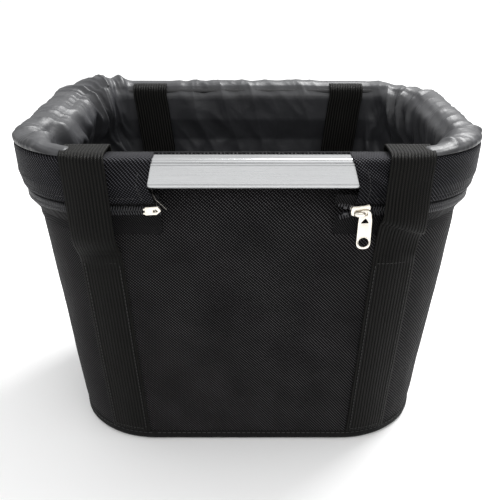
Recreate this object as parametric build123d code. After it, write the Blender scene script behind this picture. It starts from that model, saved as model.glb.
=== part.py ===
from build123d import *
import os

os.makedirs("parts", exist_ok=True)

# Handlebar basket: a tapered fabric bag that hangs from a rounded-rectangle aluminium tube.
# Millimetres. The origin is the middle of the base, on the surface that the basket stands on.
# +X is to the rider's right, +Z is up, and -Y faces the handlebar, where the tube is bare.

# Driving dimensions ---------------------------------------------------------------------------
RIM_WIDTH = 360.0
RIM_DEPTH = 262.0
RIM_RADIUS = 74.0
BASE_WIDTH = 299.0
BASE_DEPTH = 223.0
BASE_RADIUS = 70.0
RIM_TOP = 257.0            # top of the nylon that covers the rim

TUBE_TOP = 255.0
TUBE_HEIGHT = 22.0
TUBE_THICKNESS = 15.0
TUBE_WALL = 1.5
TUBE_EDGE = 3.0
TUBE_GROOVE = 0.5
TUBE_INSET = 2.0           # from the collar's outer face to the tube's

WINDOW_HALF = 72.5         # half of the length of bare tube
ZIP_HEIGHT = 216.0         # middle of the zip's chain
ZIP_LEFT_END = -74.0       # where the chain enters the retainer box
ZIP_RIGHT_END = 79.0       # where the closed chain ends, inside the slider
TAPE_END = 63.0            # where both zip tapes end, left and right of the window

FABRIC = 1.2
LINING = 0.8
FOAM = 2.5
BOARD = 3.0
WEBBING = 2.0
WEBBING_WIDTH = 32.0
PLY_GAP = 0.2              # air between two layers that lie on each other

FRONT_STRAP_TOP = 115.0    # strap centre lines at the rim and at the base
FRONT_STRAP_BASE = 100.0
BACK_STRAP_TOP = 96.5
BACK_STRAP_BASE = 84.0
SEWN_TOP = 172.0           # the straps are sewn down below this height
LOOP_BOTTOM = 98.0         # lowest point of a handle loop as it hangs inside

# Levels of the bag wall: height, width, depth and corner radius of the outer face -------------
ZIP_SHOULDER = 205.0
TUBE_POCKET = 226.0
TUBE_INNER_WIDTH = RIM_WIDTH - 2 * (TUBE_INSET + TUBE_THICKNESS)
TUBE_INNER_DEPTH = RIM_DEPTH - 2 * (TUBE_INSET + TUBE_THICKNESS)
TUBE_INNER_RADIUS = RIM_RADIUS - TUBE_INSET - TUBE_THICKNESS
POCKET_LEVEL = (TUBE_INNER_WIDTH - 0.8, TUBE_INNER_DEPTH - 0.8, TUBE_INNER_RADIUS - 0.4)

WALL = [
    (0.0, BASE_WIDTH, BASE_DEPTH, BASE_RADIUS),
    (ZIP_SHOULDER, 335.0, 239.5, 68.0),
    (TUBE_POCKET, *POCKET_LEVEL),
    (TUBE_TOP, *POCKET_LEVEL),
]
# Levels of the collar's outer face, from its hem over the zip up to the rim.
COLLAR_HEM = 222.0
COLLAR = [
    (ZIP_HEIGHT - 2.0, 349.0, 251.0, 69.0),
    (COLLAR_HEM, 353.0, 255.0, 70.6),
    (TUBE_TOP - TUBE_HEIGHT, 358.6, 260.6, 73.3),
    (250.0, RIM_WIDTH, RIM_DEPTH, RIM_RADIUS),
    (RIM_TOP - 1.0, RIM_WIDTH, RIM_DEPTH, RIM_RADIUS),
]
# The chain runs level, so both rows share one outline.
CHAIN_OUTLINE = (349.0, 251.0, 69.0)
CHAIN_THICKNESS = 2.4
TAPE = 0.8


# Shapes that repeat ---------------------------------------------------------------------------
def level_at(levels, height):
    """Width, depth and radius of the face at one height, with the height in front."""
    for low, high in zip(levels[:-1], levels[1:]):
        if low[0] <= height <= high[0]:
            part = (height - low[0]) / (high[0] - low[0])
            sizes = [a + (b - a) * part for a, b in zip(low[1:], high[1:])]
            return (height, *sizes)
    raise ValueError(f"no level at {height}")


def levels_between(levels, bottom, top):
    """The part of a face between two heights."""
    middle = [level for level in levels if bottom < level[0] < top]
    return [level_at(levels, bottom), *middle, level_at(levels, top)]


def filled(levels, inset=0.0):
    """The solid inside a face that is moved inwards by inset."""
    outlines = []
    for height, width, depth, radius in levels:
        rounded = RectangleRounded(width - 2 * inset, depth - 2 * inset, radius - inset)
        outlines.append(Plane.XY.offset(height) * rounded)
    return loft(outlines, ruled=True)


def shell(levels, inset, thickness):
    """A wall that follows a face, from inset inwards by thickness."""
    return filled(levels, inset) - filled(levels, inset + thickness)


def upright(outline, bottom, top):
    """Levels of a face with the same outline at both heights."""
    return [(bottom, *outline), (top, *outline)]


def slab(outline, bottom, top, inset=0.0):
    """A flat plate with a rounded outline."""
    return filled(upright(outline, bottom, top), inset)


def block(x_range, y_range, z_range):
    """A box between two corners."""
    size = [high - low for low, high in (x_range, y_range, z_range)]
    middle = [(high + low) / 2 for low, high in (x_range, y_range, z_range)]
    return Pos(*middle) * Box(*size)


def strap_band(side, face, top_centre, base_centre, width, bottom, top):
    """The space in front of or behind the bag that a leaning strap takes up, cut square to X."""
    slope = (top_centre - base_centre) / RIM_TOP
    corners = []
    for height in (bottom, top):
        centre = side * (base_centre + slope * height)
        corners.append(((centre - width / 2, height), (centre + width / 2, height)))
    (low_left, low_right), (high_left, high_right) = corners
    with BuildSketch(Plane.XZ) as sketch:
        with BuildLine():
            Polyline(low_left, low_right, high_right, high_left, close=True)
        make_face()
    depth = RIM_DEPTH
    band = extrude(sketch.sketch, amount=depth)
    return band if face < 0 else Pos(0, depth, 0) * band


def save(name, shape):
    export_step(shape, f"parts/{name}.step")


# Frame ----------------------------------------------------------------------------------------
TUBE_OUTLINE = (RIM_WIDTH - 2 * TUBE_INSET, RIM_DEPTH - 2 * TUBE_INSET, RIM_RADIUS - TUBE_INSET)
TUBE_BOTTOM = TUBE_TOP - TUBE_HEIGHT
RIVET_SPACING = 36.0
RIVET_RADIUS = 2.0
JOINER_LENGTH = 64.0


def rivet_places():
    """Both rivets sit under the tube, one each side of the butt joint at the back."""
    tube_middle = RIM_DEPTH / 2 - TUBE_INSET - TUBE_THICKNESS / 2
    return [(side * RIVET_SPACING / 2, tube_middle) for side in (-1, 1)]


def frame_tube():
    """A hollow extrusion bent into a ring, with two grooves along its outward face."""
    levels = upright(TUBE_OUTLINE, TUBE_BOTTOM, TUBE_TOP)
    ring = filled(levels) - filled(levels, TUBE_THICKNESS)
    long_edges = ring.edges().filter_by_position(Axis.Z, TUBE_TOP, TUBE_TOP)
    long_edges += ring.edges().filter_by_position(Axis.Z, TUBE_BOTTOM, TUBE_BOTTOM)
    ring = fillet(long_edges, TUBE_EDGE)
    hollow = upright(TUBE_OUTLINE, TUBE_BOTTOM + TUBE_WALL, TUBE_TOP - TUBE_WALL)
    ring -= filled(hollow, TUBE_WALL) - filled(hollow, TUBE_THICKNESS - TUBE_WALL)
    for groove_height in (TUBE_TOP - 4.0, TUBE_BOTTOM + 4.0):
        groove = upright(TUBE_OUTLINE, groove_height - 0.4, groove_height + 0.4)
        ring -= filled(groove, -1.0) - filled(groove, TUBE_GROOVE)
    butt_gap = 0.3
    back = RIM_DEPTH / 2
    ring -= block((-butt_gap / 2, butt_gap / 2), (back - 30, back), (TUBE_BOTTOM - 1, TUBE_TOP + 1))
    for x, y in rivet_places():
        hole = Cylinder(RIVET_RADIUS + 0.05, 2 * TUBE_WALL)
        ring -= Pos(x, y, TUBE_BOTTOM + TUBE_WALL / 2) * hole
    return ring


def frame_joiner():
    """The bar inside the tube that holds its two ends together."""
    tube_middle = RIM_DEPTH / 2 - TUBE_INSET - TUBE_THICKNESS / 2
    depth = TUBE_THICKNESS - 2 * TUBE_WALL - PLY_GAP
    height = TUBE_HEIGHT - 2 * TUBE_WALL - PLY_GAP
    bar = Pos(0, tube_middle, TUBE_TOP - TUBE_HEIGHT / 2) * Box(JOINER_LENGTH, depth, height)
    for x, y in rivet_places():
        bar -= Pos(x, y, TUBE_BOTTOM + 4) * Cylinder(RIVET_RADIUS + 0.05, 10)
    return bar


def frame_rivets():
    """Two blind rivets with flat heads under the tube."""
    rivets = []
    for x, y in rivet_places():
        shank = Pos(x, y, TUBE_BOTTOM + 3) * Cylinder(RIVET_RADIUS, 8)
        head = Pos(x, y, TUBE_BOTTOM - 0.6) * Cylinder(3.6, 1.1)
        rivets.append(shank + head)
    return Compound(children=rivets)


save("frame_tube", frame_tube())
save("frame_joiner", frame_joiner())
save("frame_rivets", frame_rivets())


# Bag walls ------------------------------------------------------------------------------------
SEAM_GAP = 0.3


def seam_cut(bottom, top, widen):
    """Everything between the seams under the straps, in front of and behind the bag."""
    front = strap_slab(FRONT_STRAP_TOP, FRONT_STRAP_BASE, bottom, top, widen)
    back = strap_slab(BACK_STRAP_TOP, BACK_STRAP_BASE, bottom, top, widen)
    return front, Pos(0, RIM_DEPTH, 0) * back


def strap_slab(top_centre, base_centre, bottom, top, widen):
    """A block whose two sides follow the centre lines of a pair of straps."""
    slope = (top_centre - base_centre) / RIM_TOP
    low = base_centre + slope * bottom + widen
    high = base_centre + slope * top + widen
    with BuildSketch(Plane.XZ) as sketch:
        with BuildLine():
            Polyline((-low, bottom), (low, bottom), (high, top), (-high, top), close=True)
        make_face()
    return extrude(sketch.sketch, amount=RIM_DEPTH)


def four_walls(ring, bottom, top):
    """A ring cut into front, back, left and right pieces along the seams."""
    front_cut, back_cut = seam_cut(bottom, top, 0.0)
    wide_front, wide_back = seam_cut(bottom, top, SEAM_GAP)
    sides = ring - wide_front - wide_back
    left_half = block((-RIM_WIDTH, 0), (-RIM_DEPTH, RIM_DEPTH), (bottom - 1, top + 1))
    right_half = block((0, RIM_WIDTH), (-RIM_DEPTH, RIM_DEPTH), (bottom - 1, top + 1))
    return {
        "front": ring & front_cut,
        "back": ring & back_cut,
        "left_side": sides & left_half,
        "right_side": sides & right_half,
    }


outer_wall = shell(WALL, 0.0, FABRIC)
for place, piece in four_walls(outer_wall, 0.0, TUBE_TOP).items():
    save(f"{place}_panel", piece)

FOAM_BOTTOM = 6.0
FOAM_TOP = ZIP_SHOULDER - 1.0
foam_levels = levels_between(WALL, FOAM_BOTTOM, FOAM_TOP)
foam_wall = shell(foam_levels, FABRIC + PLY_GAP, FOAM)
for place, piece in four_walls(foam_wall, FOAM_BOTTOM, FOAM_TOP).items():
    save(f"{place}_foam", piece)

base_outline = (BASE_WIDTH, BASE_DEPTH, BASE_RADIUS)
inside_wall = FABRIC + PLY_GAP
save("bottom_panel", slab(base_outline, 0.0, FABRIC, inside_wall))
save("base_board", slab(base_outline, 1.4, 1.4 + BOARD, inside_wall))

BINDING_HEIGHT = 8.6
binding_levels = [(0.4, BASE_WIDTH, BASE_DEPTH, BASE_RADIUS), level_at(WALL, BINDING_HEIGHT)]
save("bottom_binding", shell(binding_levels, -1.4, 1.3))

# The lining hangs inside the foam and closes in above it to meet the wall at the rim.
LINING_BOTTOM = 5.4
lining_inset = FABRIC + FOAM + 2 * PLY_GAP
lining_levels = [
    level_at(WALL, LINING_BOTTOM),
    level_at(WALL, ZIP_SHOULDER),
    (TUBE_POCKET, *[size + extra for size, extra in zip(POCKET_LEVEL, (5.0, 5.0, 2.5))]),
    (TUBE_TOP, *[size + extra for size, extra in zip(POCKET_LEVEL, (5.0, 5.0, 2.5))]),
]
save("lining_wall", shell(lining_levels, lining_inset, LINING))
save("lining_bottom", slab(base_outline, 4.5, 4.5 + LINING, lining_inset))


# Rim ------------------------------------------------------------------------------------------
def front_window(half_width, back_face, bottom, top):
    """The gap in the rim that leaves the tube bare for the handlebar bracket."""
    return block((-half_width, half_width), (-RIM_DEPTH, back_face), (bottom, top))


def collar():
    """The sleeve of bag fabric that folds over the tube and comes down to the zip."""
    skirt = shell(levels_between(COLLAR, COLLAR_HEM, COLLAR[-1][0]), 0.0, 0.9)
    rim_outline = (RIM_WIDTH, RIM_DEPTH, RIM_RADIUS)
    top = slab(rim_outline, TUBE_TOP + 0.1, COLLAR[-1][0])
    top -= slab(POCKET_LEVEL, TUBE_TOP, RIM_TOP, FABRIC)
    tube_back = -TUBE_INNER_DEPTH / 2
    return skirt + top - front_window(WINDOW_HALF, tube_back, COLLAR_HEM - 1, RIM_TOP)


COVER_TOP_THICKNESS = 0.8
COVER_SKIRT = 2.6
COVER_BOTTOM = 140.0
cover_inset = lining_inset + LINING + PLY_GAP


def rim_cover():
    """The nylon cover, gathered over the rim and tucked down inside the bag."""
    _, *top_outline = lining_levels[-1]
    levels = levels_between(lining_levels, COVER_BOTTOM, TUBE_POCKET) + [(RIM_TOP, *top_outline)]
    skirt = shell(levels, cover_inset, COVER_SKIRT)
    rim_outline = (RIM_WIDTH, RIM_DEPTH, RIM_RADIUS)
    top_bottom = RIM_TOP - COVER_TOP_THICKNESS
    top = slab(rim_outline, top_bottom, RIM_TOP, 3.0)
    top -= slab(top_outline, top_bottom - 1, RIM_TOP + 1, cover_inset + COVER_SKIRT)
    wall_face = -POCKET_LEVEL[1] / 2
    return skirt + (top - front_window(WINDOW_HALF, wall_face, top_bottom - 1, RIM_TOP + 1))


save("collar", collar())
save("rim_cover", rim_cover())


# Zip ------------------------------------------------------------------------------------------
CHAIN_SPLIT = 1.4          # half of the gap that the slider's post runs in
CHAIN_ROW = 2.2
chain_width, chain_depth, chain_radius = CHAIN_OUTLINE
chain_front = -chain_depth / 2
chain_middle = chain_front + CHAIN_THICKNESS / 2


def chain_row(bottom):
    """One row of the coil, from the retainer box round the back to the slider."""
    ring = shell(upright(CHAIN_OUTLINE, bottom, bottom + CHAIN_ROW), 0.0, CHAIN_THICKNESS)
    near = (-RIM_DEPTH, -chain_depth / 4)
    return ring - block((ZIP_LEFT_END, ZIP_RIGHT_END), near, (bottom - 1, bottom + CHAIN_ROW + 1))


def tape_ring(edge_height, sewn_height, sewn_level):
    """One zip tape, from beside the chain to where it is sewn, open across the bare tube."""
    chain_side = (CHAIN_THICKNESS - TAPE) / 2
    edge = (chain_width - 2 * chain_side, chain_depth - 2 * chain_side, chain_radius - chain_side)
    levels = sorted([(edge_height, *edge), (sewn_height, *sewn_level)])
    ring = shell(levels, 0.0, TAPE)
    heights = (levels[0][0] - 1, levels[1][0] + 1)
    return ring - block((-TAPE_END, TAPE_END), (-RIM_DEPTH, -chain_depth / 4), heights)


row_reach = CHAIN_SPLIT + CHAIN_ROW
save("zip_coil_upper", chain_row(ZIP_HEIGHT + CHAIN_SPLIT))
save("zip_coil_lower", chain_row(ZIP_HEIGHT - row_reach))

upper_sewn_height = 229.0
_, collar_width, collar_depth, collar_radius = level_at(COLLAR, upper_sewn_height)
inside_collar = (collar_width - 2.2, collar_depth - 2.2, collar_radius - 1.1)
tape_gap = row_reach + 0.1
save("zip_tape_upper", tape_ring(ZIP_HEIGHT + tape_gap, upper_sewn_height, inside_collar))

# The lower tape stands off the wall at the chain and lies on it where it is sewn.
lower_sewn_height = 203.0
_, wall_width, wall_depth, wall_radius = level_at(WALL, lower_sewn_height)
TAPE_ON_WALL = 2 * (TAPE + PLY_GAP)
outside_wall = (wall_width + TAPE_ON_WALL, wall_depth + TAPE_ON_WALL, wall_radius + TAPE_ON_WALL / 2)
lower_flare = tape_ring(ZIP_HEIGHT - tape_gap, lower_sewn_height, outside_wall)
lower_foot_levels = []
for height, width, depth, radius in levels_between(WALL, 196.0, lower_sewn_height):
    lower_foot_levels.append(
        (height, width + TAPE_ON_WALL, depth + TAPE_ON_WALL, radius + TAPE_ON_WALL / 2)
    )
lower_foot = shell(lower_foot_levels, 0.0, TAPE)
lower_foot -= block((-TAPE_END, TAPE_END), (-RIM_DEPTH, -chain_depth / 4), (190, 210))
save("zip_tape_lower", lower_flare + lower_foot)

# The retainer box clasps both tape ends at the left of the bare tube.
BOX_LENGTH = 12.0
BOX_HEIGHT = 7.2
BOX_DEPTH = 4.4
box_middle = ZIP_LEFT_END + BOX_LENGTH / 2 + 0.2
retainer = Pos(box_middle, chain_middle, ZIP_HEIGHT) * Box(BOX_LENGTH, BOX_DEPTH, BOX_HEIGHT)
retainer = fillet(retainer.edges().filter_by(Axis.X), 1.2)
tape_slot_depth = TAPE + PLY_GAP
for side in (-1, 1):
    slot_middle = ZIP_HEIGHT + side * (row_reach + 0.4)
    slot = Box(BOX_LENGTH + 1, tape_slot_depth, 1.4)
    retainer -= Pos(box_middle, chain_middle, slot_middle) * slot
save("zip_box", retainer)

# A small metal stop is clamped on each tape just past the closed slider.
STOP_X = 70.5
stops = []
for side in (-1, 1):
    stop = Pos(STOP_X, chain_middle, ZIP_HEIGHT + side * 2.4) * Box(3.0, 2.6, 2.0)
    stops.append(fillet(stop.edges(), 0.4))
save("zip_top_stops", Compound(children=stops))


# Slider and pull ------------------------------------------------------------------------------
SLIDER_LEFT = 74.4
SLIDER_LENGTH = 14.2
SLIDER_HEIGHT = 11.0
PLATE = 1.3
PLATE_GAP = 0.4            # between the chain and each plate
POST_X = 76.6
PULL_PIVOT_X = 84.5
PULL_PIVOT_Z = 214.6
PULL_PIN_RADIUS = 1.2
PULL_THICKNESS = 1.5
PULL_LENGTH = 30.0
FRONT_PLATE = (chain_front - PLATE_GAP - PLATE, chain_front - PLATE_GAP)
BACK_PLATE = (
    chain_front + CHAIN_THICKNESS + PLATE_GAP,
    chain_front + CHAIN_THICKNESS + PLATE_GAP + PLATE,
)
PULL_FACE = FRONT_PLATE[0] - 0.35
CROWN = (PULL_FACE - PULL_THICKNESS - 1.7, PULL_FACE - PULL_THICKNESS - 0.4)


def shield(y_range):
    """One slider plate: broad where the rows part, with rounded shoulders and a narrower tail."""
    left, right = SLIDER_LEFT, SLIDER_LEFT + SLIDER_LENGTH
    broad, narrow = SLIDER_HEIGHT / 2, SLIDER_HEIGHT / 2 - 1.4
    with BuildSketch(Plane.XZ.offset(-y_range[1])) as sketch:
        with BuildLine():
            Polyline(
                (left, ZIP_HEIGHT - broad + 2),
                (left + 2, ZIP_HEIGHT - broad),
                (left + 6, ZIP_HEIGHT - broad),
                (right, ZIP_HEIGHT - narrow),
                (right, ZIP_HEIGHT + narrow),
                (left + 6, ZIP_HEIGHT + broad),
                (left + 2, ZIP_HEIGHT + broad),
                (left, ZIP_HEIGHT + broad - 2),
                close=True,
            )
        make_face()
    return extrude(sketch.sketch, amount=y_range[1] - y_range[0])


def along_y(x, z, radius, y_range):
    """A round bar along Y."""
    middle = (y_range[0] + y_range[1]) / 2
    return Pos(x, middle, z) * Rot(90, 0, 0) * Cylinder(radius, y_range[1] - y_range[0])


def zip_slider():
    """Two plates joined by the dividing post, with a crown whose right foot carries the pull."""
    body = shield(FRONT_PLATE) + shield(BACK_PLATE)
    post_y = (FRONT_PLATE[1] - 0.2, BACK_PLATE[0] + 0.2)
    body += block((POST_X - 1.4, POST_X + 1.4), post_y, (ZIP_HEIGHT - 1.1, ZIP_HEIGHT + 1.1))
    foot_y = (CROWN[1] - 0.2, FRONT_PLATE[0] + 0.2)
    body += along_y(PULL_PIVOT_X, PULL_PIVOT_Z, PULL_PIN_RADIUS, foot_y)
    left_foot_x = SLIDER_LEFT + 2.6
    body += along_y(left_foot_x, PULL_PIVOT_Z, PULL_PIN_RADIUS, foot_y)
    crown_length = PULL_PIVOT_X - left_foot_x + 4.4
    crown = Box(crown_length, CROWN[1] - CROWN[0], 4.4)
    crown = fillet(crown.edges().filter_by(Axis.Y), 2.0)
    crown_middle = ((PULL_PIVOT_X + left_foot_x) / 2, (CROWN[0] + CROWN[1]) / 2, PULL_PIVOT_Z)
    return body + Pos(*crown_middle) * crown


def zip_pull():
    """A tapered tab with an eye round the crown's foot and a round hole at its lower end."""
    top = PULL_PIVOT_Z + 3.0
    end_radius = 5.2
    end_centre = top - PULL_LENGTH + end_radius
    head_radius = 3.9
    head_centre = top - head_radius
    with BuildSketch(Plane.XZ.offset(-PULL_FACE)) as sketch:
        with Locations((PULL_PIVOT_X, head_centre)):
            Circle(head_radius)
        with Locations((PULL_PIVOT_X, end_centre)):
            Circle(end_radius)
        make_hull()
        with Locations((PULL_PIVOT_X, end_centre)):
            Circle(3.8, mode=Mode.SUBTRACT)
        with Locations((PULL_PIVOT_X, PULL_PIVOT_Z)):
            Circle(PULL_PIN_RADIUS + 0.15, mode=Mode.SUBTRACT)
        with Locations((PULL_PIVOT_X, PULL_PIVOT_Z - 5.2)):
            RegularPolygon(2.2, 3, rotation=-90, mode=Mode.SUBTRACT)
    return extrude(sketch.sketch, amount=PULL_THICKNESS)


save("zip_slider", zip_slider())
save("zip_pull", zip_pull())


# Webbing straps -------------------------------------------------------------------------------
STRAP_BOTTOM = 9.0
FREE_BOTTOM = 184.0        # above this the strap hangs clear of the zip
STRAP_LIFT = 1.0           # from the rim's widest outline to the strap's inner face
STRAP_OUTLINE = (
    RIM_WIDTH + 2 * (STRAP_LIFT + WEBBING),
    RIM_DEPTH + 2 * (STRAP_LIFT + WEBBING),
    RIM_RADIUS + STRAP_LIFT + WEBBING,
)
STRAP_TOP = RIM_TOP + PLY_GAP + WEBBING
FRONT_HINGE_Y = 103.0      # each pair of straps bends over the inner edge of the rim here
BACK_HINGE_Y = 108.2
HINGE_Z = RIM_TOP + 0.5


def on_wall(height):
    """The outline of the outer face of a strap that lies on the wall."""
    _, width, depth, radius = level_at(WALL, height)
    lift = WEBBING + PLY_GAP
    return (height, width + 2 * lift, depth + 2 * lift, radius + lift)


def strap(side, face, top_centre, base_centre, hinge_y):
    """Webbing sewn up the wall, then free outside the zip, up to and across the rim."""
    climbing = [on_wall(STRAP_BOTTOM), on_wall(SEWN_TOP), (FREE_BOTTOM, *STRAP_OUTLINE)]
    climbing.append((STRAP_TOP, *STRAP_OUTLINE))
    ring = shell(climbing, 0.0, WEBBING)
    over_rim = slab(STRAP_OUTLINE, STRAP_TOP - WEBBING, STRAP_TOP)
    reach = STRAP_OUTLINE[1] / 2
    ring += over_rim - block((-RIM_WIDTH, RIM_WIDTH), (-hinge_y - 1, hinge_y + 1), (0, 2 * RIM_TOP))
    band = strap_band(side, face, top_centre, base_centre, WEBBING_WIDTH, STRAP_BOTTOM, STRAP_TOP)
    half = (-reach - 1, 0) if face < 0 else (0, reach + 1)
    return ring & band & block((-RIM_WIDTH, RIM_WIDTH), half, (0, 2 * RIM_TOP))


STRAPS = {
    "front_strap_left": (-1, -1, FRONT_STRAP_TOP, FRONT_STRAP_BASE, FRONT_HINGE_Y),
    "front_strap_right": (1, -1, FRONT_STRAP_TOP, FRONT_STRAP_BASE, FRONT_HINGE_Y),
    "back_strap_left": (-1, 1, BACK_STRAP_TOP, BACK_STRAP_BASE, BACK_HINGE_Y),
    "back_strap_right": (1, 1, BACK_STRAP_TOP, BACK_STRAP_BASE, BACK_HINGE_Y),
}
for name, settings in STRAPS.items():
    save(name, strap(*settings))


# Bar tacks hold the webbing where its sewn length ends.
def strap_bartacks():
    """One raised bar of thread across each strap, a little below its free length."""
    bars = []
    bottom, top = SEWN_TOP - 5.0, SEWN_TOP - 3.4
    levels = [on_wall(bottom), on_wall(top)]
    ring = shell(levels, -0.5, 0.45)
    for side, face, top_centre, base_centre, _ in STRAPS.values():
        band = strap_band(side, face, top_centre, base_centre, WEBBING_WIDTH - 6, bottom, top)
        bars.append(ring & band)
    return Compound(children=[bar.solid() for bar in bars])


save("strap_bartacks", strap_bartacks())

# Handle loops ---------------------------------------------------------------------------------
LEG_TOP = HINGE_Z - 4.5
LEG_END = 188.0            # the webbing is flat above this and turns edge-on below
TWIST_END = 146.0
LOOP_CORNER = 40.0
LEG_INSET = 1.7            # from the hinge line in to the outer face of a leg
TWIST_STEPS = 6


def leg_section(x, face, leg_face, height, turn):
    """The webbing's section at one height: turn 0 is flat along the rim, 90 is edge-on to it."""
    edge_on = turn / 90.0
    flat_y = leg_face - WEBBING / 2
    turned_y = leg_face - WEBBING_WIDTH / 2
    y = face * (flat_y + (turned_y - flat_y) * edge_on)
    return Plane.XY.offset(height) * Pos(x, y) * Rot(0, 0, turn) * Rectangle(WEBBING_WIDTH, WEBBING)


def handle(face, top_centre, hinge_y):
    """A loop of webbing that hangs inside the bag: two flat legs that twist into a U."""
    low_centre = top_centre - 6.0
    leg_face = hinge_y - LEG_INSET
    loop = None
    for side in (-1, 1):
        sections = [leg_section(side * top_centre, face, leg_face, LEG_TOP, 0.0)]
        for step in range(TWIST_STEPS + 1):
            part = step / TWIST_STEPS
            height = LEG_END + (TWIST_END - LEG_END) * part
            sections.append(leg_section(side * low_centre, face, leg_face, height, 90.0 * part))
        leg = loft(sections, ruled=True)
        loop = leg if loop is None else loop + leg
    half_width = low_centre + WEBBING / 2
    tall = 2 * (TWIST_END - LOOP_BOTTOM)
    with BuildSketch(Plane.XZ) as sketch:
        with Locations((0, TWIST_END)):
            RectangleRounded(2 * half_width, tall, LOOP_CORNER)
            inner_width = 2 * (half_width - WEBBING)
            RectangleRounded(inner_width, tall - 2 * WEBBING, LOOP_CORNER - WEBBING, mode=Mode.SUBTRACT)
        with Locations((0, TWIST_END + tall)):
            Rectangle(4 * half_width, 2 * tall, mode=Mode.SUBTRACT)
    start = leg_face if face < 0 else WEBBING_WIDTH - leg_face
    u_part = Pos(0, -start + WEBBING_WIDTH, 0) * extrude(sketch.sketch, amount=WEBBING_WIDTH)
    return loop + u_part


save("front_handle", handle(-1, FRONT_STRAP_TOP, FRONT_HINGE_Y))
save("back_handle", handle(1, BACK_STRAP_TOP, BACK_HINGE_Y))
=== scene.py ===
"""Handlebar basket: the detailed look of its cloth, webbing, zip and metal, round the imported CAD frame."""

import math

import bmesh
import bpy
import numpy as np
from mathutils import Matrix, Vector, noise


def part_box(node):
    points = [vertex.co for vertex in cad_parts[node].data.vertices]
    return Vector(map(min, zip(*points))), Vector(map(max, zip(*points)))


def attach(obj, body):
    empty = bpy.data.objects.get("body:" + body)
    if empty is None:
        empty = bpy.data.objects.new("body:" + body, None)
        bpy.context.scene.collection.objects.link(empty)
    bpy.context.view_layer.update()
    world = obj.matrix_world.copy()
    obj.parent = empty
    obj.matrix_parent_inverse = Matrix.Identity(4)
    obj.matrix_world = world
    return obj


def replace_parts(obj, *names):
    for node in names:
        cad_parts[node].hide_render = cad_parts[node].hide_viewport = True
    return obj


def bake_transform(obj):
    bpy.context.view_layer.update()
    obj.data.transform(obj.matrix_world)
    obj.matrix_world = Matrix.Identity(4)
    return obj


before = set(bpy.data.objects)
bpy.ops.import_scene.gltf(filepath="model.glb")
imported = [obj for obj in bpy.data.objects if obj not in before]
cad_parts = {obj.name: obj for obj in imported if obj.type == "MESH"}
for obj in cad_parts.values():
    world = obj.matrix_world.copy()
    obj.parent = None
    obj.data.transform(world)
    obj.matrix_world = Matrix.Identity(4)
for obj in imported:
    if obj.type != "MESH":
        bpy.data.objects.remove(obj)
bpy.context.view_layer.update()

MM = 0.001
FRONT, BACK = -1, 1
LEFT, RIGHT = -1, 1

# Sizes of the bag, from the frame's own boxes.


def low(node):
    return np.array(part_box(node)[0])


def high(node):
    return np.array(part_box(node)[1])


rim_half = high("collar")
tube_half = high("frame_tube")
tube_low, tube_top = low("frame_tube")[2], high("frame_tube")[2]
tube_inside = tube_half - 15 * MM
wall_top = high("left_side_foam")[2] + 1 * MM
side_half = -low("left_side_panel")[0]
base_half = high("bottom_panel") + 1.4 * MM
hem_level = low("collar")[2]
tape_foot, tape_head = low("zip_tape_lower")[2], high("zip_tape_lower")[2]
cover_bottom = low("rim_cover")[2]
cover_top = high("rim_cover")[2]
lining_top = high("lining_wall")[2]
lining_floor = high("lining_bottom")[2]
strap_half = 16 * MM
strap_thick = 2 * MM
strap_half_depth = -low("front_strap_left")[1]
loop_bottom = low("front_handle")[2]

COVER_START = 121 * MM
RIM_RADIUS = 74 * MM
BASE_RADIUS = 70 * MM
FABRIC = 1.2 * MM


def table(*rows):
    """Levels of an outline: height, half width, half depth and corner radius, from the bottom up."""
    return np.array(rows)


WALL = table(
    (0, base_half[0], base_half[1], BASE_RADIUS),
    (wall_top, side_half, rim_half[1] - 11.25 * MM, 68 * MM),
    (tube_low - 7 * MM, tube_inside[0] - 0.4 * MM, tube_inside[1] - 0.4 * MM, 56.6 * MM),
    (lining_top, tube_inside[0] - 0.4 * MM, tube_inside[1] - 0.4 * MM, 56.6 * MM),
)
COLLAR = table(
    (hem_level, rim_half[0] - 3.5 * MM, rim_half[1] - 3.5 * MM, 70.6 * MM),
    (tube_low, rim_half[0] - 0.7 * MM, rim_half[1] - 0.7 * MM, 73.3 * MM),
    (tube_top, rim_half[0], rim_half[1], RIM_RADIUS),
)
LINING = WALL - np.array([0, 4.1 * MM, 4.1 * MM, 4.1 * MM])
COVER = WALL - np.array([0, 6.4 * MM, 6.4 * MM, 6.4 * MM])

# The rim's outline measures how far round the bag a point is, from the left end of the front's straight run.
RIM_STRAIGHTS = (2 * (rim_half[0] - RIM_RADIUS), 2 * (rim_half[1] - RIM_RADIUS))
RIM_CORNER = RIM_RADIUS * math.pi / 2
ROUND = np.cumsum([0] + [RIM_STRAIGHTS[i // 2 % 2] if i % 2 == 0 else RIM_CORNER for i in range(8)])
RIM_LENGTH = ROUND[-1]


def sizes_at(levels, z):
    """Half width, half depth and corner radius of an outline at a height."""
    return [np.interp(z, levels[:, 0], levels[:, k]) for k in (1, 2, 3)]


def ring(along, half_width, half_depth, radius):
    """Points of a rounded rectangle and its outward directions, in plan."""
    share = np.interp(np.mod(along, RIM_LENGTH), ROUND, np.arange(9.0))
    part = np.minimum(share.astype(int), 7)
    t = share - part
    turn = t * math.pi / 2
    a, b = half_width - radius, half_depth - radius
    sin, cos, flat = np.sin(turn), np.cos(turn), np.zeros_like(t)
    x = [2 * a * t - a, a + radius * sin, a + radius, a + radius * cos]
    y = [flat - b - radius, -b - radius * cos, 2 * b * t - b, b + radius * sin]
    nx = [flat, sin, flat + 1, cos]
    ny = [flat - 1, -cos, flat, sin]
    sign = np.where(part < 4, 1.0, -1.0)
    quarter = part % 4
    return tuple(
        np.choose(quarter, [option + flat for option in options]) * sign for options in (x, y, nx, ny)
    )


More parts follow.
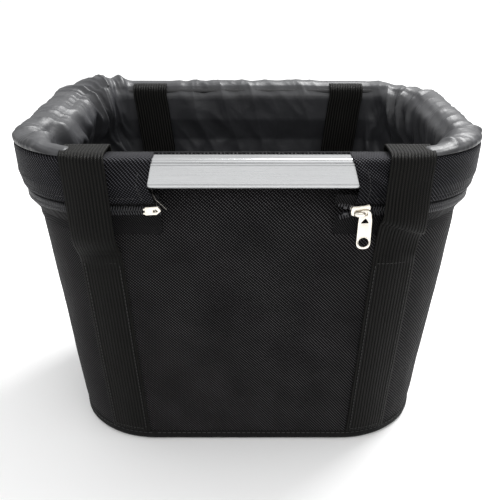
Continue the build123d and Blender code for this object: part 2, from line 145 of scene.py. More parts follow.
def along_at(face, x, half_width, radius):
    """How far round the rim's outline the front or back of an outline has this x."""
    a = half_width - radius
    lean = np.arcsin(np.clip((np.abs(x) - a) / radius, 0, 1)) / (math.pi / 2)
    past_corner = np.where(x > 0, ROUND[1] + lean * RIM_CORNER, -lean * RIM_CORNER)
    on_front = np.where(np.abs(x) <= a, ROUND[1] * (x / a + 1) / 2, past_corner)
    if face == FRONT:
        return on_front
    return ROUND[4] + ROUND[1] - on_front


def rough(points, size, seed):
    """Smooth noise from -1 to 1 at points: size is that of its features, or three sizes along X, Y and Z."""
    scaled = points.reshape(-1, 3) / np.array(size) + seed * 7.31
    return np.array([noise.noise(p) for p in scaled]).reshape(points.shape[:-1])


def smooth(x):
    x = np.clip(x, 0, 1)
    return x * x * (3 - 2 * x)


def stack(x, y, z):
    return np.stack(np.broadcast_arrays(x, y, z), axis=-1)


def points_at(at, places, rows):
    """Rows interpolated at some places along them, given each row's own place."""
    return np.stack([np.interp(at, places, column) for column in rows.T], axis=1)


def distances(line):
    """How far along a line of points each one is."""
    return np.concatenate([[0], np.cumsum(np.linalg.norm(np.diff(line, axis=0), axis=1))])


def grid_normals(grid, closed):
    """Unit normals of a grid of points, to the right of its first direction seen along its second."""
    if closed:
        around = np.roll(grid, -1, axis=0) - np.roll(grid, 1, axis=0)
    else:
        around = np.gradient(grid, axis=0)
    normal = np.cross(around, np.gradient(grid, axis=1))
    return normal / np.maximum(np.linalg.norm(normal, axis=-1, keepdims=True), 1e-12)


def mesh_object(name, points, faces, material, corner_uv=None):
    mesh = bpy.data.meshes.new(name)
    mesh.from_pydata(np.asarray(points).tolist(), [], faces)
    if corner_uv is not None:
        mesh.uv_layers.new(name="cloth").data.foreach_set("uv", np.asarray(corner_uv, float).ravel())
    mesh.shade_smooth()
    mesh.materials.append(material)
    piece = bpy.data.objects.new(name, mesh)
    bpy.context.scene.collection.objects.link(piece)
    return piece


def lengths(grid, axis, closed):
    """Distances along the middle line of a grid, for its cloth coordinates."""
    line = np.take(grid, grid.shape[1 - axis] // 2, axis=1 - axis)
    if closed:
        line = np.vstack([line, line[:1]])
    return distances(line)


def cloth(name, grid, thickness, material, closed=False, normals=None, start=0.0):
    """A closed mesh of cloth: grid is its outer face, and the inner face lies a thickness behind it."""
    if normals is None:
        normals = grid_normals(grid, closed)
    count_u, count_v = grid.shape[:2]
    points = np.concatenate([grid.reshape(-1, 3), (grid - normals * thickness).reshape(-1, 3)])
    inner = count_u * count_v
    u, v = lengths(grid, 0, closed), lengths(grid, 1, False) + start
    faces, uv = [], []
    steps = count_u if closed else count_u - 1
    for i in range(steps):
        k = (i + 1) % count_u
        for j in range(count_v - 1):
            a, b, c, d = i * count_v + j, k * count_v + j, k * count_v + j + 1, i * count_v + j + 1
            faces += [(a, b, c, d), (d + inner, c + inner, b + inner, a + inner)]
            square = [(u[i], v[j]), (u[i + 1], v[j]), (u[i + 1], v[j + 1]), (u[i], v[j + 1])]
            uv += square + square[::-1]
        for j, turned in ((0, False), (count_v - 1, True)):
            a, b = i * count_v + j, k * count_v + j
            edge = (a, a + inner, b + inner, b)
            at = [(u[i], v[j]), (u[i], v[j]), (u[i + 1], v[j]), (u[i + 1], v[j])]
            faces.append(edge[::-1] if turned else edge)
            uv += at[::-1] if turned else at
    if not closed:
        for i, turned in ((0, True), (count_u - 1, False)):
            for j in range(count_v - 1):
                a, b = i * count_v + j, i * count_v + j + 1
                edge = (a, a + inner, b + inner, b)
                at = [(u[i], v[j]), (u[i], v[j]), (u[i], v[j + 1]), (u[i], v[j + 1])]
                faces.append(edge[::-1] if turned else edge)
                uv += at[::-1] if turned else at
    return mesh_object(name, points, faces, material, uv)


# Materials.


class Shader:
    """A new material with short ways to add and join its nodes."""

    def __init__(self, name, colour, roughness, **settings):
        self.material = bpy.data.materials.new(name)
        self.material.use_nodes = True
        self.tree = self.material.node_tree
        self.surface = self.tree.nodes["Principled BSDF"]
        self.surface.inputs["Base Color"].default_value = (*colour, 1)
        self.surface.inputs["Roughness"].default_value = roughness
        for label, value in settings.items():
            self.surface.inputs[label.replace("_", " ")].default_value = value
        self.material.diffuse_color = (*colour, 1)

    def add(self, kind, inputs=(), **settings):
        node = self.tree.nodes.new("ShaderNode" + kind)
        for label, value in settings.items():
            setattr(node, label, value)
        for place, value in dict(inputs).items():
            if isinstance(value, bpy.types.NodeSocket):
                self.tree.links.new(value, node.inputs[place])
            else:
                node.inputs[place].default_value = value
        return node.outputs[0]

    def math(self, operation, a, b=0.0):
        return self.add("Math", {0: a, 1: b}, operation=operation)

    def split(self, vector):
        node = self.tree.nodes.new("ShaderNodeSeparateXYZ")
        self.tree.links.new(vector, node.inputs[0])
        return node.outputs[0], self.math("ADD", node.outputs[1], node.outputs[2])

    def cloth_place(self):
        return self.add("UVMap", uv_map="cloth")

    def object_place(self):
        node = self.tree.nodes.new("ShaderNodeTexCoord")
        return node.outputs["Object"]

    def noise(self, place, scale, detail=4.0, stretch=(1, 1, 1)):
        moved = self.add("Mapping", {"Vector": place, "Scale": stretch})
        return self.add("TexNoise", {"Vector": moved, "Scale": scale, "Detail": detail})

    def spread(self, value, start, end):
        """The value mapped from 0..1 onto start..end."""
        return self.add("MapRange", {"Value": value, "To Min": start, "To Max": end})

    def between(self, share, first, second):
        ramp = self.add("Mix", {}, data_type="RGBA").node
        self.tree.links.new(share, ramp.inputs["Factor"])
        ramp.inputs[6].default_value = (*first, 1)
        ramp.inputs[7].default_value = (*second, 1)
        return ramp.outputs[2]

    def colour(self, socket):
        self.tree.links.new(socket, self.surface.inputs["Base Color"])

    def roughness(self, socket):
        self.tree.links.new(socket, self.surface.inputs["Roughness"])

    def bump(self, height, distance, strength=1.0):
        """Raises the surface by height; several bumps add up."""
        node = self.tree.nodes.new("ShaderNodeBump")
        node.inputs["Strength"].default_value = strength
        node.inputs["Distance"].default_value = distance
        self.tree.links.new(height, node.inputs["Height"])
        target = self.surface.inputs["Normal"]
        if target.is_linked:
            self.tree.links.new(target.links[0].from_socket, node.inputs["Normal"])
        self.tree.links.new(node.outputs[0], target)


def waves(shader, coordinate, pitch):
    """Rounded threads side by side: 1 on each crest and 0 between."""
    turned = shader.math("MULTIPLY", coordinate, math.pi / pitch)
    return shader.math("ABSOLUTE", shader.math("SINE", turned))


def woven(name, dark, light, pitch, roughness, on_cloth=True, depth=0.35, gloss=0.2):
    """Plain-woven coarse yarn: two sets of threads that pass over and under each other. The dark colour is the
    yarn's own; the light colour is a painted highlight on the thread crests, with painted shade between them,
    varying in broad painted sheen patches.
    """
    shader = Shader(name, dark, roughness, Specular_IOR_Level=gloss)
    place = shader.cloth_place() if on_cloth else shader.object_place()
    x, y = shader.split(place)
    ridge = waves(shader, shader.math("ADD", x, y), pitch * 1.414)
    cross = waves(shader, shader.math("SUBTRACT", x, y), pitch * 1.1)
    over = shader.math("MULTIPLY", ridge, shader.spread(cross, 0.35, 1.0))
    yarn = shader.noise(place, 1 / (0.35 * MM), 2.0)
    sheen_patch = shader.noise(place, 28.0, 3.0)
    # Painted highlight on the thread crests, varying in strength in broad painted sheen patches; the gaps keep
    # the yarn's dark colour as painted shade.
    crest_highlight = shader.math("MULTIPLY", shader.math("POWER", over, 4.0), shader.spread(sheen_patch, 0.2, 1.5))
    shader.colour(shader.between(crest_highlight, dark, light))
    shader.roughness(shader.spread(sheen_patch, roughness - 0.08, roughness + 0.1))
    shader.bump(over, depth * MM)
    shader.bump(yarn, 0.08 * MM)
    return shader.material


def make_webbing():
    """Ribbed polyester webbing: ribs along its length, crossed by fine slanted picks. The raised ribs get a
    painted highlight colour and the hollows between them painted shade.
    """
    shader = Shader("webbing", (0.013, 0.012, 0.011), 0.55, Specular_IOR_Level=0.08)
    place = shader.cloth_place()
    across, length = shader.split(place)
    ribs = waves(shader, across, 2.5 * MM)
    slant = shader.math("ADD", shader.math("MULTIPLY", across, 0.9), length)
    picks = waves(shader, slant, 1.3 * MM)
    raised = shader.math("MULTIPLY", shader.math("POWER", ribs, 0.7), shader.spread(picks, 0.45, 1.0))
    sheen_patch = shader.noise(place, 30.0, 3.0)
    crest_highlight = shader.math("MULTIPLY", shader.math("POWER", raised, 3.5), shader.spread(sheen_patch, 0.5, 1.2))
    # Painted highlight on the raised ribs and painted shade in the hollows between them, in broad painted
    # sheen patches.
    shader.colour(shader.between(crest_highlight, (0.0003, 0.0003, 0.0003), (0.033, 0.032, 0.029)))
    shader.roughness(shader.spread(picks, 0.6, 0.4))
    shader.bump(raised, 0.7 * MM)
    return shader.material


def make_nylon(name, colour, roughness):
    """Thin coated nylon: glossy, with fine crumples whose raised parts are painted lighter as painted
    highlight and whose hollows are painted darker as painted shade.
    """
    shader = Shader(name, colour, roughness, Specular_IOR_Level=0.5)
    place = shader.object_place()
    crumple = shader.noise(place, 55.0, 3.0)
    fine = shader.noise(place, 420.0, 2.0)
    # Painted highlight on the crumples' crests and painted shade in their hollows, following the same noise as
    # their bump.
    crumple_highlight = tuple(c * 1.7 for c in colour)
    shader.colour(shader.between(crumple, tuple(c * 0.7 for c in colour), crumple_highlight))
    shader.roughness(shader.spread(fine, roughness - 0.05, roughness + 0.08))
    shader.bump(crumple, 1.2 * MM, 0.4)
    shader.bump(fine, 0.12 * MM, 0.6)
    return shader.material


def make_binding_tape():
    """Woven binding tape with close ribs across it; the raised weave gets a painted highlight colour and the
    hollows between painted shade.
    """
    shader = Shader("binding_tape", (0.012, 0.012, 0.012), 0.6, Specular_IOR_Level=0.12)
    place = shader.cloth_place()
    across, length = shader.split(place)
    ribs = waves(shader, across, 1.1 * MM)
    picks = waves(shader, length, 1.1 * MM)
    raised = shader.math("MULTIPLY", ribs, shader.spread(picks, 0.5, 1.0))
    # Painted highlight on the raised ribs and picks, painted shade between them.
    shader.colour(shader.between(raised, (0.0012, 0.0012, 0.0012), (0.010, 0.010, 0.010)))
    shader.bump(raised, 0.3 * MM)
    return shader.material


def make_aluminium():
    """Extruded aluminium with a satin finish: fine lines along the tube and faint handling marks."""
    shader = Shader("extrusion", (0.56, 0.565, 0.575), 0.3, Metallic=1.0)
    place = shader.object_place()
    lines = shader.noise(place, 60.0, 5.0, (0.6, 18, 28))
    marks = shader.noise(place, 22.0, 4.0)
    shader.colour(shader.between(lines, (0.36, 0.365, 0.37), (0.50, 0.505, 0.51)))
    both = shader.math("ADD", shader.spread(lines, 0.2, 0.36), shader.spread(marks, -0.04, 0.05))
    shader.roughness(both)
    shader.bump(lines, 0.05 * MM, 0.35)
    return shader.material


def make_nickel():
    """Plated zip metal: bright and slightly warm, with tiny scratches."""
    shader = Shader("zip_metal", (0.86, 0.81, 0.74), 0.2, Metallic=1.0)
    place = shader.object_place()
    worn = shader.noise(place, 160.0, 5.0)
    scratches = shader.noise(place, 300.0, 3.0, (1, 1, 0.08))
    shader.colour(shader.between(worn, (0.72, 0.67, 0.59), (0.86, 0.82, 0.74)))
    shader.roughness(shader.spread(worn, 0.13, 0.3))
    shader.bump(scratches, 0.03 * MM, 0.3)
    return shader.material


def make_plain(name, dark, light, roughness, scale, bump, metallic=0.0):
    """A simple surface with grain of one size in its colour, gloss and height."""
    shader = Shader(name, dark, roughness, Metallic=metallic)
    grain = shader.noise(shader.object_place(), scale, 5.0)
    shader.colour(shader.between(grain, dark, light))
    shader.roughness(shader.spread(grain, roughness - 0.08, roughness + 0.1))
    shader.bump(grain, bump, 0.6)
    return shader.material


DARK_YARN = (0.001, 0.001, 0.0012)
WEAVE_PITCH = 1.9 * MM

# The second colour of each woven cloth below is the painted highlight on its thread crests.
bag_cloth = woven("bag_cloth", DARK_YARN, (0.15, 0.145, 0.15), WEAVE_PITCH, 0.6, depth=0.5, gloss=0.05)
collar_cloth = woven(
    "collar_cloth", (0.001, 0.001, 0.0014), (0.16, 0.16, 0.18), WEAVE_PITCH, 0.48, depth=0.8, gloss=0.05
)
flat_cloth = woven(
    "flat_cloth", (0.0065, 0.0065, 0.007), (0.03, 0.03, 0.031), 1.15 * MM, 0.62, on_cloth=False
)
zip_tape = woven("zip_tape", DARK_YARN, (0.09, 0.088, 0.092), 1.3 * MM, 0.62, on_cloth=False, gloss=0.05)
webbing = make_webbing()
cover_nylon = make_nylon("cover_nylon", (0.022, 0.0225, 0.025), 0.42)
lining_nylon = make_nylon("lining_nylon", (0.006, 0.006, 0.007), 0.4)
binding_tape = make_binding_tape()
aluminium = make_aluminium()
nickel = make_nickel()
thread = make_plain("thread", (0.016, 0.016, 0.016), (0.05, 0.05, 0.05), 0.5, 900.0, 0.05 * MM)
pale_thread = make_plain("pale_thread", (0.35, 0.33, 0.29), (0.55, 0.53, 0.48), 0.6, 900.0, 0.05 * MM)
coil_nylon = make_plain("coil_nylon", (0.012, 0.012, 0.014), (0.035, 0.035, 0.04), 0.32, 500.0, 0.04 * MM)
joiner_metal = make_plain("joiner_metal", (0.55, 0.56, 0.58), (0.7, 0.71, 0.72), 0.45, 90.0, 0.05 * MM, 1.0)
rivet_metal = make_plain("rivet_metal", (0.5, 0.5, 0.5), (0.68, 0.68, 0.68), 0.35, 200.0, 0.05 * MM, 1.0)
foam = make_plain("foam", (0.02, 0.02, 0.022), (0.045, 0.045, 0.05), 0.9, 700.0, 0.3 * MM)
board = make_plain("board", (0.03, 0.028, 0.026), (0.06, 0.056, 0.05), 0.6, 120.0, 0.1 * MM)


def finish_node(node, material):
    """A CAD node keeps its shape and gets this material."""
    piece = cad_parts[node]
    for place in piece.material_slots:
        place.material = material


# The bag's wall.

STRAP_FOOT = {FRONT: 100 * MM, BACK: 84 * MM}
STRAP_LEAN = {FRONT: 15 / 257, BACK: 12.5 / 257}


def strap_x(face, side, z):
    """Where a strap's centre line is at a height."""
    return side * (STRAP_FOOT[face] + STRAP_LEAN[face] * z)


def near_strap(points, half=18 * MM, fade=14 * MM):
    """1 on a strap and 0 away from all four."""
    x, y, z = points[..., 0], points[..., 1], points[..., 2]
    best = np.zeros_like(x)
    for face in (FRONT, BACK):
        for side in (LEFT, RIGHT):
            away = np.abs(x - strap_x(face, side, z)) - half
            best = np.maximum(best, np.where(y * face > 0, 1 - smooth(away / fade), 0))
    return best


def wall_relief(points):
    """How far the wall's cloth stands out of its plain shape, with slack, ripples and creases."""
    z = points[..., 2]
    loose = smooth(z / (25 * MM)) * smooth((wall_top + 4 * MM - z) / (22 * MM))
    slack = 1.1 * MM * (rough(points, (95 * MM, 95 * MM, 120 * MM), 1) + 0.6)
    ripple = 0.55 * MM * rough(points, (38 * MM, 38 * MM, 60 * MM), 2)
    small = 0.2 * MM * rough(points, (13 * MM, 13 * MM, 17 * MM), 3)
    foot = smooth((34 * MM - z) / (30 * MM)) * smooth(z / (6 * MM))
    corner = smooth((np.abs(points[..., 0]) - 96 * MM) / (20 * MM))
    crease = -1.1 * MM * foot * corner * np.maximum(rough(points, (7 * MM, 9 * MM, 60 * MM), 4), 0)
    under_tape = 0.6 * MM * smooth((z - tape_foot + 1 * MM) / (4 * MM)) * smooth((tape_head - z) / (4 * MM))
    return np.maximum(loose * (slack + ripple + small) + crease, -0.12 * MM) - under_tape


def wall_points(along, z, out=0.0):
    x, y, nx, ny = ring(along, *sizes_at(WALL, z))
    points = stack(x, y, z)
    relief = wall_relief(points) + out
    return points + stack(nx * relief, ny * relief, 0 * relief)


def seam_along(face, side, z):
    half_width, _, radius = sizes_at(WALL, z)
    return along_at(face, strap_x(face, side, z), half_width, radius)


def make_panel(name, first, last, columns, top):
    """A cloth panel between two straps' seams, each given by its face and side."""
    z = np.linspace(1.2 * MM, top, 90)
    begin = seam_along(*first, z)
    end = seam_along(*last, z)
    end = np.where(end < begin, end + RIM_LENGTH, end)
    share = np.linspace(0, 1, columns)[:, None]
    gap = 0.15 * MM
    grid = wall_points(begin + gap + share * (end - begin - 2 * gap), z[None, :] + 0 * share)
    panel = cloth(name, grid, FABRIC, bag_cloth)
    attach(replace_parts(panel, name.replace("_cloth", "")), "bag")


make_panel("front_panel_cloth", (FRONT, LEFT), (FRONT, RIGHT), 150, lining_top)
make_panel("right_side_panel_cloth", (FRONT, RIGHT), (BACK, RIGHT), 200, lining_top)
make_panel("back_panel_cloth", (BACK, RIGHT), (BACK, LEFT), 130, lining_top)
make_panel("left_side_panel_cloth", (BACK, LEFT), (FRONT, LEFT), 200, lining_top)


def profile_ring(path, count, relief):
    """A closed band round the bag: path has rows of height, half width, half depth and radius along it."""
    along = np.linspace(0, RIM_LENGTH, count, endpoint=False)[:, None]
    z, half_width, half_depth, radius = (path[None, :, k] for k in range(4))
    x, y, nx, ny = ring(along + 0 * z, half_width, half_depth, radius)
    points = stack(x, y, z + 0 * x)
    out = relief(points)
    return points + stack(nx * out, ny * out, 0 * out)


def make_binding():
    """The bound edge round the base: tape folded over the edges of the wall and the bottom."""
    outer = [base_half[0], base_half[1], BASE_RADIUS]
    section = [
        (0.5, -9.0), (0.3, -2.0), (0.7, 0.3), (2.2, 1.2), (4.6, 1.45), (7.0, 1.25), (8.3, 0.75), (8.7, 0.1)
    ]
    rows = [[z * MM] + [size + out * MM for size in outer] for z, out in section]

    def pucker(points):
        return 0.28 * MM * rough(points, (7 * MM, 7 * MM, 12 * MM), 5) * smooth(points[..., 2] / (2 * MM))

    grid = profile_ring(np.array(rows), 760, pucker)
    binding = cloth("bottom_binding_tape", grid, 0.7 * MM, binding_tape, closed=True)
    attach(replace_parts(binding, "bottom_binding"), "bag")


make_binding()


def face_outwards(mesh):
    """Turns every face of a closed mesh outwards."""
    work = bmesh.new()
    work.from_mesh(mesh)
    bmesh.ops.recalc_face_normals(work, faces=work.faces)
    work.to_mesh(mesh)
    work.free()


def capsules(name, starts, ends, outs, width, height, material):
    """Small rounded bars, as of thread or coil, from starts to ends, standing out along outs."""
    starts, ends, outs = (np.asarray(a, float) for a in (starts, ends, outs))
    length = ends - starts
    side = np.cross(outs, length)
    side /= np.maximum(np.linalg.norm(side, axis=1, keepdims=True), 1e-12)
    points, faces = [], []
    section = [(math.cos(t), math.sin(t)) for t in np.arange(6) * math.pi / 3]
    stations = ((0.0, 0.45), (0.2, 1.0), (0.8, 1.0), (1.0, 0.45))
    for begin, run, out, across in zip(starts, length, outs, side):
        first = len(points)
        for share, swell in stations:
            middle = begin + run * share
            for c, s in section:
                points.append(middle + across * (c * width / 2 * swell) + out * (s * height / 2 * swell))
        for ring_index in range(3):
            for k in range(6):
                a = first + ring_index * 6 + k
                b = first + ring_index * 6 + (k + 1) % 6
                faces.append((a, b, b + 6, a + 6))
        faces.append(tuple(first + k for k in range(5, -1, -1)))
        faces.append(tuple(first + 18 + k for k in range(6)))
    piece = mesh_object(name, np.array(points), faces, material)
    face_outwards(piece.data)
    return piece


def dashes(line, outs, length, gap):
    """Starts, ends and outward directions of stitches along a line of points."""
    far = distances(line)
    begin = np.arange(gap, far[-1] - length, length + gap)
    return (
        points_at(begin, far, line),
        points_at(begin + length, far, line),
        points_at(begin + length / 2, far, outs),
    )


def ring_line(z, sizes, out):
    """A line round the bag at a height, out from an outline, and its outward directions."""
    x, y, nx, ny = ring(np.linspace(0, RIM_LENGTH, 1400), *sizes)
    return stack(x + nx * out, y + ny * out, z), stack(nx, ny, 0)


def make_stitches(name, lines, length, gap, width, old=()):
    """One piece of dashed stitches along lines, each given by its points and their outward directions."""
    sets = [dashes(line, outs, length, gap) for line, outs in lines]
    starts, ends, outs = (np.concatenate([s[k] for s in sets]) for k in range(3))
    piece = capsules(name, starts, ends, outs, width, width, thread)
    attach(piece, "bag")
    if old:
        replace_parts(piece, *old)


make_stitches(
    "binding_stitches",
    [ring_line(6.6 * MM, (base_half[0], base_half[1], BASE_RADIUS), 1.35 * MM)],
    3.0 * MM, 1.3 * MM, 0.55 * MM,
)


# The collar, the cover and the lining.


def make_collar():
    """The cloth sleeve round the tube, with a window at the front and a hem just above the zip."""
    over = 37 / 2 * MM
    rows = [
        (tube_top + 0.7 * MM, *(rim_half[:2] - over), RIM_RADIUS - over),
        (tube_top + 0.9 * MM, *(rim_half[:2] - 8 * MM), RIM_RADIUS - 8 * MM),
        (tube_top + 0.8 * MM, *(rim_half[:2] - 3.2 * MM), RIM_RADIUS - 3.2 * MM),
        (tube_top - 0.2 * MM, *(rim_half[:2] - 1.0 * MM), RIM_RADIUS - 1.0 * MM),
        (tube_top - 2.2 * MM, *(rim_half[:2] - 0.1 * MM), RIM_RADIUS),
    ]
    rows += [(z, *sizes_at(COLLAR, z)) for z in np.linspace(tube_top - 5 * MM, hem_level, 34)]
    path = np.array([[float(v) for v in row] for row in rows])[::-1]
    z = path[:, 0]
    left = np.interp(z, np.array([214, 222, 236, 256]) * MM, np.array([-62.5, -66, -70.6, -66]) * MM)
    right = np.interp(z, np.array([214, 222, 236, 256]) * MM, np.array([74.5, 77.5, 79, 73]) * MM)
    begin = along_at(FRONT, right, path[:, 1], path[:, 3])
    end = along_at(FRONT, left, path[:, 1], path[:, 3]) + RIM_LENGTH
    share = np.linspace(0, 1, 620)[:, None]
    along = begin + share * (end - begin)
    x, y, nx, ny = ring(along, path[:, 1] + 0 * share, path[:, 2] + 0 * share, path[:, 3] + 0 * share)
    points = stack(x, y, z + 0 * share)
    below = smooth((tube_top - z) / (6 * MM))[None, :]
    edge = np.minimum(along - begin, end - along)
    slack = 0.5 * MM * rough(points, (60 * MM, 60 * MM, 30 * MM), 6) * below
    loose_end = np.exp(-edge / (26 * MM)) * below
    crumple = 1.0 * MM * rough(points, (17 * MM, 17 * MM, 9 * MM), 7) * loose_end
    hem_bead = 0.35 * MM * smooth(1 - np.abs(z - hem_level - 2 * MM) / (2.5 * MM))[None, :]
    end_bead = 0.5 * MM * smooth(1 - np.abs(edge - 2 * MM) / (2.5 * MM)) * below
    low = smooth((232 * MM - z) / (16 * MM))[None, :]
    wave = 0.7 * MM * rough(points, (34 * MM, 34 * MM, 300 * MM), 8) * low
    fall = z[None, :] - (247.5 * MM - 0.5 * (points[..., 0] - 78 * MM))
    ridge = smooth((points[..., 0] - 72 * MM) / (9 * MM)) * smooth((108 * MM - points[..., 0]) / (14 * MM))
    ridge = 3.4 * MM * ridge * np.exp(-((fall / (4 * MM)) ** 2)) * (points[..., 1] < 0)
    out = slack + crumple + hem_bead + end_bead + wave + ridge
    grid = points + stack(nx * out, ny * out, 0.25 * np.abs(out))
    collar = cloth("collar_cloth", grid, 0.9 * MM, collar_cloth)
    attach(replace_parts(collar, "collar"), "bag")
    return grid


collar_grid = make_collar()


def collar_stitches():
    """Stitch lines along the collar's hem and down both ends of the window."""
    normals = grid_normals(collar_grid, False)
    hem = (collar_grid[8:-8, 5], normals[8:-8, 5])
    lines = [hem]
    for column in (5, -6):
        lines.append((collar_grid[column, 2:-6], normals[column, 2:-6]))
    make_stitches("collar_stitches", lines, 2.6 * MM, 1.2 * MM, 0.5 * MM)


collar_stitches()


def fold_field(along, depth, pitch, seed):
    """Soft folds that run down the cloth: round crests about a pitch apart, wandering as they go down."""
    where = stack(along / (5 * pitch), depth / (9 * pitch), 0 * along + seed)
    drift = np.array([noise.noise(p) for p in where.reshape(-1, 3)]).reshape(along.shape)
    finer = np.array([noise.noise(p * 2.7) for p in where.reshape(-1, 3)]).reshape(along.shape)
    phase = along / pitch + 1.5 * drift + 0.7 * finer
    return 1 - np.abs(np.sin(math.pi * phase)) ** 0.8


def corner_share(along):
    """1 in the middle of each corner and 0 along the straight runs."""
    outside, inside = 12 * MM, 22 * MM
    places = []
    for begin, end in zip(ROUND[1::2], ROUND[2::2]):
        places += [begin - outside, begin + inside, end - inside, end + outside]
    return np.interp(np.mod(along, RIM_LENGTH), places, [0, 1, 1, 0] * 4, period=RIM_LENGTH)


def make_cover():
    """The nylon cover, gathered over the rim and hanging down inside the basket."""
    over = (
        (1.2, 0.25), (2.5, 2.0), (5.0, 3.75), (8.5, 4.5),
        (12, 4.25), (15.5, 3.25), (18.5, 1.25), (20.3, -2.0),
    )
    rows = [
        (tube_top + (1 + up) * MM, *(rim_half[:2] - inset * MM), RIM_RADIUS - inset * MM) for inset, up in over
    ]
    inner = sizes_at(COVER, lining_top)
    rows.append((tube_top - 6 * MM, *inner))
    rows += [(z, *sizes_at(COVER, z)) for z in np.linspace(tube_top - 10 * MM, cover_bottom + 0.5 * MM, 62)]
    path = np.array([[float(v) for v in row] for row in rows])
    fine = np.interp(np.linspace(0, len(over), 34), np.arange(len(path)), np.arange(len(path)))
    places = np.concatenate([fine[:-1], np.arange(len(over), len(path))])
    path = np.stack([np.interp(places, np.arange(len(path)), path[:, k]) for k in range(4)], axis=1)
    step = np.linalg.norm(np.diff(path[:, [0, 2]], axis=0), axis=1)
    depth = np.concatenate([[0], np.cumsum(step)])[None, :]

    along = np.linspace(0, RIM_LENGTH, 1500, endpoint=False)[:, None]
    rows = [path[None, :, k] + 0 * along for k in range(4)]
    x, y, nx, ny = ring(along + 0 * depth, *rows[1:])
    window = np.where(y < 0, 1 - smooth((np.abs(x) - COVER_START) / (8 * MM)), 0)
    behind = rim_half[1] - tube_inside[1] + 2.6 * MM
    short = np.maximum(behind - (rim_half[0] - rows[1]), 0) * window
    rows = [rows[0] + window * (np.minimum(rows[0], tube_top + 1.2 * MM - 0.8 * short) - rows[0])] + [
        size - short for size in rows[1:]
    ]
    x, y, nx, ny = ring(along + 0 * depth, *rows[1:])
    points = stack(x, y, rows[0])
    flat_normals = grid_normals(points, True)
    if flat_normals[0, 0, 2] < 0:
        flat_normals = -flat_normals

    corner = corner_share(along)
    back = smooth((points[..., 1] - 60 * MM) / (50 * MM)) * (1 - corner)
    free = 1 - near_strap(points, 17 * MM, 16 * MM)
    uneven = along + 9 * MM * rough(stack(along + 0 * depth, 0 * depth + 0 * along, 0), (23 * MM, 1, 1), 10)
    puckers = fold_field(uneven, depth + 0 * along, 7.5 * MM, 11) * np.exp(-depth / (6 * MM))
    sheet = stack(along + 0.4 * depth, depth + 0 * along, 0)
    bend = 9 * MM * rough(sheet, (40 * MM, 30 * MM, 1), 18)
    sheet = stack(sheet[..., 0] + bend, sheet[..., 1] - bend, 0)
    facets = 1 - np.abs(rough(sheet, (24 * MM, 40 * MM, 1), 19)) * 2.2
    facets = facets + 0.25 * (1 - np.abs(rough(sheet, (11 * MM, 22 * MM, 1), 20)) * 2.2)
    folds = fold_field(along + 0.25 * depth, depth + 0 * along, 33 * MM, 12) * smooth(depth / (24 * MM))
    broad = rough(stack(along + 0 * depth, depth + 0 * along, 0), (48 * MM, 70 * MM, 1), 13)
    lively = 0.35 + 0.65 * corner
    height = 0.7 * MM * puckers * lively
    height = height + folds * (1.0 * MM + 5.0 * MM * lively * (1 - 0.75 * back)) * (0.3 + 0.7 * free)
    height = height + (1.6 * MM * broad + 3.2 * MM * facets) * lively * free
    side_left = smooth((-x - 118 * MM) / (34 * MM)) * smooth((y + 62 * MM) / (40 * MM))
    side_right = smooth((x - 128 * MM) / (30 * MM)) * smooth((y + 62 * MM) / (40 * MM))
    belly = np.exp(-(((depth - 40 * MM) / (20 * MM)) ** 2))
    height = height + (15 * MM * side_left + 4 * MM * side_right) * belly * (0.75 + 0.25 * facets) * free
    far_corner = np.exp(-(((x + 128 * MM) / (34 * MM)) ** 2) - ((y - 96 * MM) / (30 * MM)) ** 2)
    height = height + 4.0 * MM * far_corner * np.exp(-((depth - 12 * MM) / (16 * MM)) ** 2)
    flat_corner = np.exp(-(((x - 148 * MM) / (46 * MM)) ** 2) - ((y - 104 * MM) / (46 * MM)) ** 2)
    flat_corner = 0.6 * flat_corner * smooth((34 * MM - depth) / (20 * MM))
    room = np.maximum(points[..., 2] - tube_top - 1.8 * MM, 0)
    height = height * (1 - flat_corner) - room * flat_corner
    height = height * (0.12 + 0.88 * free) * smooth((depth + 2 * MM) / (5 * MM))
    gather = smooth((depth - 100 * MM) / (40 * MM))
    height = height * (1 - 0.4 * gather) * (1 - window * (depth < 30 * MM))
    grid = points + flat_normals * height[..., None]
    cover = cloth("rim_cover_nylon", grid[:, ::-1], 0.35 * MM, cover_nylon, closed=True)
    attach(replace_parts(cover, "rim_cover"), "bag")


make_cover()


